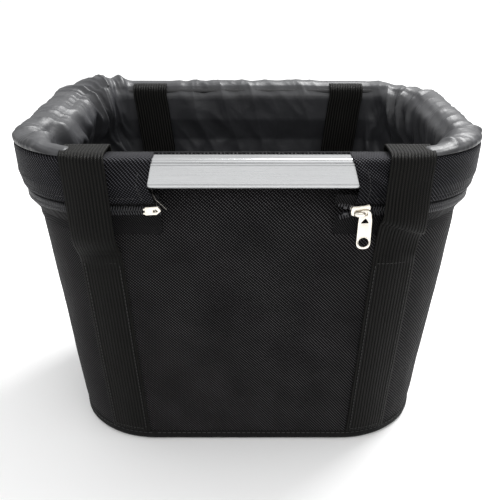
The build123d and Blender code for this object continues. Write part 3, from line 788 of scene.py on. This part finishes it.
def make_lining():
    """The nylon lining: a wall with slack folds and a bottom that lies loosely on the board."""
    z = np.linspace(lining_floor + 0.2 * MM, lining_top, 90)
    path = np.stack([z, *sizes_at(LINING, z)], axis=1)
    along = np.linspace(0, RIM_LENGTH, 900, endpoint=False)[:, None]
    x, y, nx, ny = ring(along + 0 * z, *(path[None, :, k] + 0 * along for k in (1, 2, 3)))
    points = stack(x, y, z + 0 * along)
    folds = fold_field(along + 0 * z, z + 0 * along, 33 * MM, 14)
    loose = smooth((z - lining_floor) / (30 * MM)) * smooth((cover_bottom + 12 * MM - z) / (30 * MM))
    inward = (2.6 * MM * folds + 1.2 * MM * rough(points, 30 * MM, 15)) * loose[None, :]
    inward = np.maximum(inward, 0)
    grid = points - stack(nx * inward, ny * inward, 0 * inward)
    inner_face = grid - stack(nx, ny, 0 * nx) * 0.8 * MM
    wall = cloth("lining_wall_nylon", inner_face[::-1], 0.7 * MM, lining_nylon, closed=True)
    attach(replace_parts(wall, "lining_wall"), "bag")

    sizes = sizes_at(LINING, lining_floor)
    shares = np.linspace(0.002, 1, 46)[None, :]
    x, y, nx, ny = ring(np.linspace(0, RIM_LENGTH, 360, endpoint=False)[:, None], *sizes)
    points = stack(x * shares, y * shares, lining_floor + 0 * shares * x)
    lift = np.maximum(rough(points, (55 * MM, 40 * MM, 1), 16) + 0.2, 0) * 2.2 * MM
    lift = lift + np.maximum(rough(points, (20 * MM, 26 * MM, 1), 17), 0) * 1.2 * MM
    lift = lift * smooth((1 - shares) / 0.15)
    points[..., 2] += lift
    floor_cloth = cloth("lining_bottom_nylon", points[:, ::-1], 0.6 * MM, lining_nylon, closed=True)
    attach(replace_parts(floor_cloth, "lining_bottom"), "bag")


make_lining()


# Straps and handle loops.

ACROSS = np.linspace(-strap_half, strap_half, 25)
SEWN_TOP = 172 * MM
TWIST_TOP, TWIST_END = 196 * MM, 138 * MM
LOOP_CORNER = 40 * MM
HINGE = {FRONT: 103.0 * MM, BACK: 108.2 * MM}
LEG_INSET = 1.7 * MM
LEG_TOP_X = {FRONT: 115 * MM, BACK: 96.5 * MM}
LEG_FOOT_X = {FRONT: 109 * MM, BACK: 90.5 * MM}


def sewn_row(face, side, z, out):
    """A row across a strap where it lies on the wall, out from the cloth."""
    x = strap_x(face, side, z) + ACROSS
    half_width, _, radius = sizes_at(WALL, z)
    return wall_points(along_at(face, x, half_width, radius), z + 0 * x, out)


def free_row(face, side, z, depth, tilt=0.0, bow=0.0):
    """A row across a strap that hangs free: depth is how far from the middle of the bag it is."""
    x = strap_x(face, side, z) + ACROSS
    radius = 77 * MM
    past = np.clip(np.abs(x) - (rim_half[0] + 3 * MM - radius), 0, 70 * MM)
    round_off = radius - np.sqrt(radius**2 - past**2)
    y = face * (depth - round_off + bow * (1 - (ACROSS / strap_half) ** 2))
    return stack(x, y, z + tilt * ACROSS / strap_half)


def riser_rows(face, side):
    """Rows from the strap's foot up the wall, out over the collar and onto the rim."""
    rows = [sewn_row(face, side, z, strap_thick) for z in np.linspace(9 * MM, SEWN_TOP - 2 * MM, 16)]
    out = strap_half_depth
    droops = face == FRONT and side == RIGHT
    if droops:
        bend = [
            (180, -13.2, -1.5, 0.0), (188, -11.8, -2.5, 0.0), (197, -9.0, -3.5, 0.2),
            (202.5, -5.5, -4.5, 0.5),
            (204.5, -1.4, -5.0, 0.8), (207.0, 1.2, -5.0, 1.2), (212, 2.9, -4.0, 1.6), (219, 2.7, -2.0, 1.4),
            (228, 1.2, 0, 0.8), (240, 0.0, 0, 0.3), (250, 0.0, 0, 0),
        ]
    elif face == FRONT:
        bend = [
            (179, -11.0, 0, 0.0), (185, -6.0, 0, 0.5), (191, -1.8, 0.5, 1.0), (197, 0.8, 0.5, 1.3),
            (205, 1.5, 0, 1.3), (215, 1.0, 0, 1.0), (228, 0.2, 0, 0.6), (240, 0.0, 0, 0.2), (250, 0.0, 0, 0),
        ]
    else:
        bend = [
            (178, -8.0, 0, 0.0), (184, -3.0, 0, 0.3), (192, 0.3, 0, 0.6), (204, 0.8, 0, 0.8),
            (220, 0.4, 0, 0.5), (235, 0.0, 0, 0.2), (250, 0.0, 0, 0),
        ]
    for z, more, tilt, bow in bend:
        rows.append(free_row(face, side, z * MM, out + more * MM, tilt * MM, bow * MM))
    for z, inward in ((255.5, 0.6), (258.2, 2.4), (259.4, 5.5), (259.7, 10.0)):
        rows.append(free_row(face, side, z * MM, out - inward * MM))
    if side == RIGHT:
        rows = [row[::-1] for row in rows]
    return rows


def flat_row(face, x_middle, y_middle, z, turn, side):
    """A row inside the basket: turn 0 lies along X, and turn 1 edge-on to it, along Y."""
    angle = turn * math.pi / 2
    x = x_middle - side * ACROSS * math.cos(angle)
    y = y_middle + face * ACROSS * math.sin(angle)
    return stack(x, y, z + 0 * ACROSS)


def leg_rows(face, side):
    """Rows from the rim down inside to where the loop's bottom curve starts."""
    hinge = HINGE[face]
    leg = hinge - LEG_INSET
    rows = []
    for inset, z in ((-9.0, 259.6), (-4.0, 259.5), (-0.6, 259.0), (1.8, 257.6), (3.1, 255.2)):
        x = side * LEG_TOP_X[face] + 0 * ACROSS[0]
        rows.append(flat_row(face, x, face * (hinge - inset * MM), z * MM, 0, side))
    rows.append(flat_row(face, side * LEG_TOP_X[face], face * (leg - strap_thick), 250 * MM, 0, side))
    leg_face = leg - strap_thick
    for z in np.linspace(240 * MM, TWIST_TOP, 5):
        x = np.interp(z, [TWIST_TOP, 253 * MM], [LEG_FOOT_X[face], LEG_TOP_X[face]])
        rows.append(flat_row(face, side * x, face * leg_face, z, 0, side))
    for t in np.linspace(0, 1, 9)[1:]:
        z = TWIST_TOP + (TWIST_END - TWIST_TOP) * t
        turn = smooth(t)
        y = leg - strap_thick * (1 - turn) - strap_half * math.sin(turn * math.pi / 2)
        rows.append(flat_row(face, side * LEG_FOOT_X[face], face * y, z, turn, side))
    return rows


def bottom_rows(face):
    """Rows round the loop's bottom, from the left leg to the right one."""
    y = face * (HINGE[face] - LEG_INSET - strap_half)
    rows = []
    reach = LEG_FOOT_X[face]
    for side, turns in ((LEFT, np.linspace(0, 1, 9)), (RIGHT, np.linspace(1, 0, 9))):
        for t in turns:
            angle = t * math.pi / 2
            x = side * (reach - LOOP_CORNER + LOOP_CORNER * math.cos(angle))
            z = loop_bottom + LOOP_CORNER * (1 - math.sin(angle))
            row = stack(0 * ACROSS + x, y + face * ACROSS, z + 0 * ACROSS)
            rows.append(row)
    return rows


def smooth_rows(rows, step):
    """Rows about a step apart on smooth curves through the given rows, and where each given row is."""
    rows = np.array(rows)
    middle = rows[:, rows.shape[1] // 2]
    spans = np.maximum(np.linalg.norm(np.diff(middle, axis=0), axis=1), 1e-6)
    knots = np.concatenate([[0], np.cumsum(spans)])
    slope = np.gradient(rows, knots, axis=0)
    at = np.linspace(0, knots[-1], int(knots[-1] / step) + 1)
    k = np.clip(np.searchsorted(knots, at, side="right") - 1, 0, len(knots) - 2)
    h = (knots[k + 1] - knots[k])[:, None, None]
    t = ((at - knots[k]) / (knots[k + 1] - knots[k]))[:, None, None]
    return (
        (2 * t**3 - 3 * t**2 + 1) * rows[k]
        + (t**3 - 2 * t**2 + t) * h * slope[k]
        + (3 * t**2 - 2 * t**3) * rows[k + 1]
        + (t**3 - t**2) * h * slope[k + 1]
    )


def make_strap_pair(face, label):
    """One length of webbing: up the left strap, through the handle loop and down the right strap."""
    rows = riser_rows(face, LEFT) + leg_rows(face, LEFT)
    rows += bottom_rows(face)
    rows += leg_rows(face, RIGHT)[::-1] + riser_rows(face, RIGHT)[::-1]
    grid = smooth_rows(rows, 1.8 * MM)
    middle = grid[:, len(ACROSS) // 2]
    first, last = np.flatnonzero(middle[:, 1] * face < HINGE[face] + 1.3 * MM)[[0, -1]]
    across_first = np.swapaxes(grid, 0, 1)
    if face == BACK:
        across_first = across_first[::-1]
    normals = grid_normals(across_first, False)
    cuts = ((f"{label}_strap_left", 0, first + 1), (f"{label}_handle", first, last + 1),
            (f"{label}_strap_right", last, len(grid)))
    distance = distances(middle)
    for name, begin, end in cuts:
        piece = cloth(
            f"{name}_webbing", across_first[:, begin:end], strap_thick, webbing,
            normals=normals[:, begin:end], start=distance[begin],
        )
        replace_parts(piece, name)
        if name.endswith("handle"):
            height = cover_top + 0.5 * MM
            bend = [(0, face * (HINGE[face] + more * MM), height) for more in (0.6, -1.6)]
            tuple(bend[0])
            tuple(bend[1])
            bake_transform(piece)
        else:
            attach(piece, "bag")


make_strap_pair(FRONT, "front")
make_strap_pair(BACK, "back")


def make_strap_stitches():
    """Rows of stitches across both ends of each strap's sewn length, and along its edges."""
    lines = []
    for face in (FRONT, BACK):
        for side in (LEFT, RIGHT):
            for z in (9 * MM, SEWN_TOP - 3 * MM):
                row = sewn_row(face, side, z + 3 * MM, strap_thick + 0.1 * MM)[2:-2]
                lines.append((row, np.tile([0, face, 0.0], (len(row), 1))))
            for column in (2, -3):
                heights = np.linspace(12 * MM, SEWN_TOP, 60)
                edge = np.array([sewn_row(face, side, z, strap_thick + 0.1 * MM)[column] for z in heights])
                lines.append((edge, np.tile([0, face, 0.0], (len(edge), 1))))
    make_stitches("strap_stitches", lines, 2.2 * MM, 1.1 * MM, 0.5 * MM, old=["strap_bartacks"])


make_strap_stitches()


# The zip, whose slider has a crown with two feet at this height.
CROWN_LEFT, CROWN_RIGHT, CROWN_HEIGHT = 77.0 * MM, 84.5 * MM, 214.6 * MM


CHAIN = (rim_half[0] - 5.5 * MM, rim_half[1] - 5.5 * MM, 69 * MM)
CHAIN_MIDDLE = 216 * MM


def make_coil(name, node, towards):
    """One row of the coil: slanted loops about 2 mm apart whose heads meet the other row's."""
    sizes = CHAIN
    begin = along_at(FRONT, 66 * MM, sizes[0], sizes[2])
    end = along_at(FRONT, -64 * MM, sizes[0], sizes[2]) + RIM_LENGTH
    pitch = 1.9 * MM
    along = np.arange(begin, end, pitch) + (pitch / 2 if towards < 0 else 0)
    x, y, nx, ny = ring(along, *sizes)
    outs = stack(nx, ny, 0 * nx)
    ahead = stack(-ny, nx, 0 * nx)
    open_end = (y < 0) * np.clip(78 * MM - np.where(x > 0, x, 1), 0, 14 * MM)
    middle = CHAIN_MIDDLE + towards * 0.3 * open_end
    root = stack(x, y, middle + towards * 3.7 * MM) - outs * 1.1 * MM + ahead * 0.7 * MM
    head = stack(x, y, middle - towards * 0.5 * MM) - outs * 0.9 * MM - ahead * 0.5 * MM
    teeth = capsules(name, root, head, outs, 1.25 * MM, 2.2 * MM, coil_nylon)
    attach(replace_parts(teeth, node), "bag")


make_coil("zip_teeth_upper", "zip_coil_upper", 1)
make_coil("zip_teeth_lower", "zip_coil_lower", -1)


def plate(name, outlines, depth, bevel, y, material):
    """A plate in the XZ plane, its middle at this y, from an outline and any holes, with rounded edges."""
    curve = bpy.data.curves.new(name, "CURVE")
    curve.dimensions = "2D"
    curve.fill_mode = "BOTH"
    curve.extrude = depth / 2 - bevel
    curve.bevel_depth = bevel
    curve.bevel_resolution = 2
    curve.offset = -bevel
    for outline in outlines:
        spline = curve.splines.new("POLY")
        spline.points.add(len(outline) - 1)
        spline.points.foreach_set("co", [c for px, pz in outline for c in (px, pz, 0, 1)])
        spline.use_cyclic_u = True
    holder = bpy.data.objects.new(name, curve)
    mesh = bpy.data.meshes.new_from_object(holder)
    bpy.data.objects.remove(holder)
    bpy.data.curves.remove(curve)
    work = bmesh.new()
    work.from_mesh(mesh)
    bmesh.ops.remove_doubles(work, verts=work.verts, dist=1e-6)
    for vertex in work.verts:
        px, pz, up = vertex.co
        vertex.co = (px, y - up, pz)
    bmesh.ops.recalc_face_normals(work, faces=work.faces)
    work.to_mesh(mesh)
    work.free()
    mesh.materials.clear()
    mesh.materials.append(material)
    return mesh


def piece_of(name, meshes):
    """One object from several meshes."""
    work = bmesh.new()
    for mesh in meshes:
        work.from_mesh(mesh)
    joined = bpy.data.meshes.new(name)
    work.to_mesh(joined)
    work.free()
    joined.materials.append(meshes[0].materials[0])
    joined.shade_smooth()
    joined.set_sharp_from_angle(angle=math.radians(40))
    piece = bpy.data.objects.new(name, joined)
    bpy.context.scene.collection.objects.link(piece)
    return piece


def round_corners(corners, steps=6):
    """A closed outline with its corners rounded: each corner is x, z and a radius."""
    outline = []
    count = len(corners)
    for i, (x, z, radius) in enumerate(corners):
        here = np.array([x, z])
        back = np.array(corners[i - 1][:2]) - here
        on = np.array(corners[(i + 1) % count][:2]) - here
        back_unit, on_unit = back / np.linalg.norm(back), on / np.linalg.norm(on)
        half = math.acos(np.clip(back_unit @ on_unit, -1, 1)) / 2
        cut = min(radius / math.tan(half), np.linalg.norm(back) * 0.49, np.linalg.norm(on) * 0.49)
        for t in np.linspace(0, 1, steps):
            outline.append(tuple(
                here + back_unit * cut * (1 - t) ** 2 + on_unit * cut * t**2
            ))
    return outline


def circle(x, z, radius, count=28):
    turns = np.arange(count) * 2 * math.pi / count
    return [(x + radius * math.cos(t), z + radius * math.sin(t)) for t in turns]


def make_pull():
    """The flat tab with its finger hole, a small triangular hole and a raised rim round its face."""
    head_x = CROWN_RIGHT
    left, right = head_x - 5.2 * MM, head_x + 5.2 * MM
    top, bottom = high("zip_pull")[2], low("zip_pull")[2]
    outside = round_corners([
        (head_x - 3.9 * MM, top, 3.4 * MM), (right - 1.2 * MM, top, 3.4 * MM), (right, top - 7 * MM, 6 * MM),
        (right, bottom, 4.9 * MM), (left, bottom, 4.9 * MM), (left + 0.6 * MM, top - 10 * MM, 8 * MM),
    ])
    eye = circle(head_x + 0.1 * MM, bottom + 5.3 * MM, 3.75 * MM)
    window = round_corners([
        (head_x - 3.0 * MM, 207.6 * MM, 0.6 * MM), (head_x + 3.2 * MM, 207.9 * MM, 0.6 * MM),
        (head_x + 0.6 * MM, 211.6 * MM, 0.8 * MM),
    ])
    foot_hole = round_corners([
        (head_x - 1.9 * MM, 213.6 * MM, 0.6 * MM), (head_x + 1.9 * MM, 213.6 * MM, 0.6 * MM),
        (head_x + 1.9 * MM, 215.9 * MM, 0.6 * MM), (head_x - 1.9 * MM, 215.9 * MM, 0.6 * MM),
    ])
    y_low, y_high = low("zip_pull")[1], high("zip_pull")[1]
    middle, thick = (y_low + y_high) / 2, y_high - y_low - 0.3 * MM
    base = plate("pull_base", [outside, eye, window, foot_hole], thick, 0.3 * MM, middle, nickel)

    def shrink(outline, by):
        points = np.array(outline)
        centre = (points.max(axis=0) + points.min(axis=0)) / 2
        half = (points.max(axis=0) - points.min(axis=0)) / 2
        return [tuple(p) for p in centre + (points - centre) * (1 - by / half)]

    face_y = y_low + 0.1 * MM
    rim = plate("pull_rim", [outside, shrink(outside, 1.3 * MM)], 0.5 * MM, 0.2 * MM, face_y, nickel)
    collar = plate(
        "pull_eye_rim", [circle(head_x + 0.1 * MM, bottom + 5.3 * MM, 4.6 * MM), eye],
        0.5 * MM, 0.2 * MM, y_low + 0.1 * MM, nickel,
    )
    piece = piece_of("zip_pull_tab", [base, rim, collar])
    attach(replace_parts(piece, "zip_pull"), "zip_pull")


make_pull()


def tube_along(path, radii, material, name, sides=14):
    """A rod along a path of points in one plane, with a radius in and across that plane at each point."""
    path = np.array(path)
    tangent = np.gradient(path, axis=0)
    tangent /= np.linalg.norm(tangent, axis=1, keepdims=True)
    across = np.array([0, 0, 1.0])
    points = []
    for centre, forward, (flat, thick) in zip(path, tangent, radii):
        other = np.cross(forward, across)
        for t in np.arange(sides) * 2 * math.pi / sides:
            points.append(centre + across * math.cos(t) * flat + other * math.sin(t) * thick)
    faces = [tuple(range(sides))]
    for i in range(len(path) - 1):
        for k in range(sides):
            a, b = i * sides + k, i * sides + (k + 1) % sides
            faces.append((a, b, b + sides, a + sides))
    faces.append(tuple((len(path) - 1) * sides + k for k in range(sides)))
    mesh = bpy.data.meshes.new(name)
    mesh.from_pydata(np.array(points).tolist(), [], faces)
    face_outwards(mesh)
    mesh.materials.append(material)
    return mesh


def make_slider():
    """The slider: two flanged plates joined by a wedge, with an arched crown for the tab."""
    (x0, y0, z0), (x1, y1, z1) = low("zip_slider"), high("zip_slider")
    middle_z = (z0 + z1) / 2
    body = round_corners([
        (x0 + 0.5 * MM, middle_z - 2.9 * MM, 0.9 * MM), (x1 - 5.5 * MM, middle_z - 4.2 * MM, 1.5 * MM),
        (x1 - 0.5 * MM, z0 + 0.4 * MM, 1.2 * MM), (x1, z0 + 3.4 * MM, 1.2 * MM),
        (x1 - 1.8 * MM, middle_z, 1.5 * MM), (x1, z1 - 3.4 * MM, 1.2 * MM),
        (x1 - 0.5 * MM, z1 - 0.4 * MM, 1.2 * MM), (x1 - 5.5 * MM, middle_z + 4.2 * MM, 1.5 * MM),
        (x0 + 0.5 * MM, middle_z + 2.9 * MM, 0.9 * MM), (x0, middle_z, 1.6 * MM),
    ])
    front_y = -126.55 * MM
    back_y = y1 - 0.65 * MM
    parts = [
        plate("slider_front", [body], 1.3 * MM, 0.35 * MM, front_y, nickel),
        plate("slider_back", [body], 1.3 * MM, 0.35 * MM, back_y, nickel),
        plate("slider_wedge", [round_corners([
            (x1 - 5.0 * MM, middle_z, 0.3 * MM), (x1 - 0.8 * MM, middle_z - 1.5 * MM, 0.6 * MM),
            (x1 - 0.8 * MM, middle_z + 1.5 * MM, 0.6 * MM),
        ])], back_y - front_y, 0.2 * MM, (front_y + back_y) / 2, nickel),
    ]
    for side in (-1, 1):
        flange = round_corners([
            (x, middle_z + side * up * MM, radius * MM)
            for x, up, radius in (
                (x0 + 1.0 * MM, 3.4, 0.3), (x1 - 5 * MM, 4.4, 0.6), (x1 - 1.0 * MM, 5.4, 0.3),
                (x1 - 1.0 * MM, 4.7, 0.3), (x1 - 5 * MM, 3.7, 0.6), (x0 + 1.0 * MM, 2.7, 0.3),
            )
        ])
        parts.append(plate(f"slider_flange_{side}", [flange], 1.6 * MM, 0.2 * MM, front_y + 0.7 * MM, nickel))
    turns = np.linspace(0, math.pi, 15)
    reach = front_y - y0 - 0.65 * MM
    crown_x, half_span = (CROWN_LEFT + CROWN_RIGHT) / 2, (CROWN_RIGHT - CROWN_LEFT) / 2
    path = [
        (crown_x - half_span * math.cos(t), front_y - reach * math.sin(t) ** 0.55, CROWN_HEIGHT)
        for t in turns
    ]
    radii = [(1.5 * MM + 0.3 * MM * math.sin(t), 0.65 * MM) for t in turns]
    parts.append(tube_along(path, radii, nickel, "slider_crown"))
    piece = piece_of("zip_slider_body", parts)
    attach(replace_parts(piece, "zip_slider"), "zip_slider")


make_slider()


def make_box():
    """The retainer box at the zip's left end, with its two bars, and two loose threads beside it."""
    (x0, y0, z0), (x1, y1, z1) = low("zip_box"), high("zip_box")
    middle = (z0 + z1) / 2
    shell_outline = round_corners([
        (x0, z0 + 0.4 * MM, 0.8 * MM), (x1 - 3.5 * MM, z0 + 0.9 * MM, 1.2 * MM),
        (x1, middle + 0.2 * MM, 1.2 * MM),
        (x1 - 2.5 * MM, z1, 1.2 * MM), (x0, z1 - 0.6 * MM, 0.8 * MM),
    ])
    recess = round_corners([
        (x1 - 6.2 * MM, middle - 1.0 * MM, 0.6 * MM), (x1 - 2.4 * MM, middle - 0.4 * MM, 0.6 * MM),
        (x1 - 3.4 * MM, middle + 1.4 * MM, 0.6 * MM), (x1 - 6.2 * MM, middle + 1.0 * MM, 0.6 * MM),
    ])
    parts = [
        plate("box_front", [shell_outline, recess], 1.4 * MM, 0.3 * MM, y0 + 0.7 * MM, nickel),
        plate("box_back", [shell_outline], y1 - y0 - 1.5 * MM, 0.3 * MM, (y0 + 1.4 * MM + y1) / 2, nickel),
    ]
    for k in range(2):
        left = x0 - 1.2 * MM
        base = middle - 2.6 * MM + k * 3.0 * MM
        bar = round_corners([
            (left, base, 0.5 * MM), (x0 + 3.4 * MM, base + 0.3 * MM, 0.5 * MM),
            (x0 + 3.4 * MM, base + 2.0 * MM, 0.5 * MM), (left, base + 1.7 * MM, 0.5 * MM),
        ])
        parts.append(plate(f"box_bar_{k}", [bar], 2.0 * MM, 0.4 * MM, y0 + 0.9 * MM, nickel))
    piece = piece_of("zip_retainer_box", parts)
    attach(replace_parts(piece, "zip_box"), "bag")

    ends = [
        [(-67.5, -127.6, 233.0), (-67.2, -127.9, 229.5), (-66.8, -128.0, 226.0)],
        [(-66.5, -127.9, 229.0), (-65.2, -128.3, 225.5), (-61.2, -128.0, 221.5), (-57.8, -127.4, 217.6)],
        [(-64.6, -128.0, 224.5), (-64.7, -128.2, 221.8), (-64.9, -127.9, 219.2)],
    ]
    strands = []
    for index, end in enumerate(ends):
        line = np.array(end) * MM
        at = np.linspace(0, len(line) - 1, 24)
        path = points_at(at, np.arange(len(line)), line)
        radii = [(0.22 * MM, 0.22 * MM)] * len(path)
        strands.append(tube_along(path, radii, pale_thread, f"strand_{index}", 8))
    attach(piece_of("loose_threads", strands), "bag")


make_box()

NODE_FINISH = {
    "frame_tube": aluminium,
    "frame_joiner": joiner_metal,
    "frame_rivets": rivet_metal,
    "bottom_panel": flat_cloth,
    "base_board": board,
    "front_foam": foam,
    "back_foam": foam,
    "left_side_foam": foam,
    "right_side_foam": foam,
    "zip_tape_upper": zip_tape,
    "zip_tape_lower": zip_tape,
    "zip_top_stops": coil_nylon,
}
for node_name, node_material in NODE_FINISH.items():
    finish_node(node_name, node_material)


# The stage, the lights and the camera.


def make_stage():
    shader = Shader("floor_white", (0.95, 0.95, 0.95), 0.9)
    grain = shader.noise(shader.object_place(), 3.0, 2.0)
    shader.colour(shader.between(grain, (0.94, 0.94, 0.94), (0.96, 0.96, 0.96)))
    reach = 6.0
    points = [(-reach, -reach, 0), (reach, -reach, 0), (reach, reach, 0), (-reach, reach, 0)]
    floor = mesh_object("floor", points, [(0, 1, 2, 3)], shader.material)
    floor.location.z = -0.5 * MM
    floor.visible_diffuse = False


def make_world(strength, horizon):
    world = bpy.data.worlds.new("studio")
    bpy.context.scene.world = world
    world.use_nodes = True
    tree = world.node_tree
    backdrop = tree.nodes["Background"]
    backdrop.inputs["Color"].default_value = (1, 1, 1, 1)
    place = tree.nodes.new("ShaderNodeTexCoord")
    split = tree.nodes.new("ShaderNodeSeparateXYZ")
    height = tree.nodes.new("ShaderNodeMapRange")
    height.interpolation_type = "SMOOTHSTEP"
    for label, value in (("From Min", -0.1), ("From Max", 0.5), ("To Min", horizon), ("To Max", strength)):
        height.inputs[label].default_value = value
    tree.links.new(place.outputs["Generated"], split.inputs[0])
    tree.links.new(split.outputs[2], height.inputs["Value"])
    seen = tree.nodes.new("ShaderNodeLightPath")
    chosen = tree.nodes.new("ShaderNodeMix")
    tree.links.new(seen.outputs["Is Camera Ray"], chosen.inputs["Factor"])
    tree.links.new(height.outputs[0], chosen.inputs["A"])
    chosen.inputs["B"].default_value = 1.0
    tree.links.new(chosen.outputs["Result"], backdrop.inputs["Strength"])


def make_light(name, place, target, size, power):
    lamp = bpy.data.lights.new(name, "AREA")
    lamp.shape = "RECTANGLE"
    lamp.size, lamp.size_y = size
    lamp.energy = power
    holder = bpy.data.objects.new(name, lamp)
    holder.location = place
    holder.rotation_euler = (Vector(target) - Vector(place)).to_track_quat("-Z", "Y").to_euler()
    bpy.context.scene.collection.objects.link(holder)


def make_camera():
    """The photograph's view: from in front and above, looking down with no turn to either side."""
    camera = bpy.data.cameras.new("camera")
    focal_pixels, image_width, sensor = 715.0, 500.0, 36.0
    camera.sensor_width = sensor
    camera.lens = focal_pixels * sensor / image_width
    camera.clip_start = 0.01
    holder = bpy.data.objects.new("camera", camera)
    down = math.radians(27.0)
    camera.shift_y = 0.08
    holder.location = (1.9 * MM, -0.610, 0.399)
    holder.rotation_euler = (math.pi / 2 - down, 0, 0)
    bpy.context.scene.collection.objects.link(holder)
    bpy.context.scene.camera = holder


make_stage()
make_world(1.15, 0.22)
make_light("key", (0.45, 0.5, 1.25), (0, 0, 0.2), (0.8, 0.6), 26.0)
make_light("fill", (0.5, -1.5, 1.5), (0, -0.3, 0.0), (1.6, 1.0), 5.0)
make_camera()
bpy.context.scene.view_settings.view_transform = "Standard"
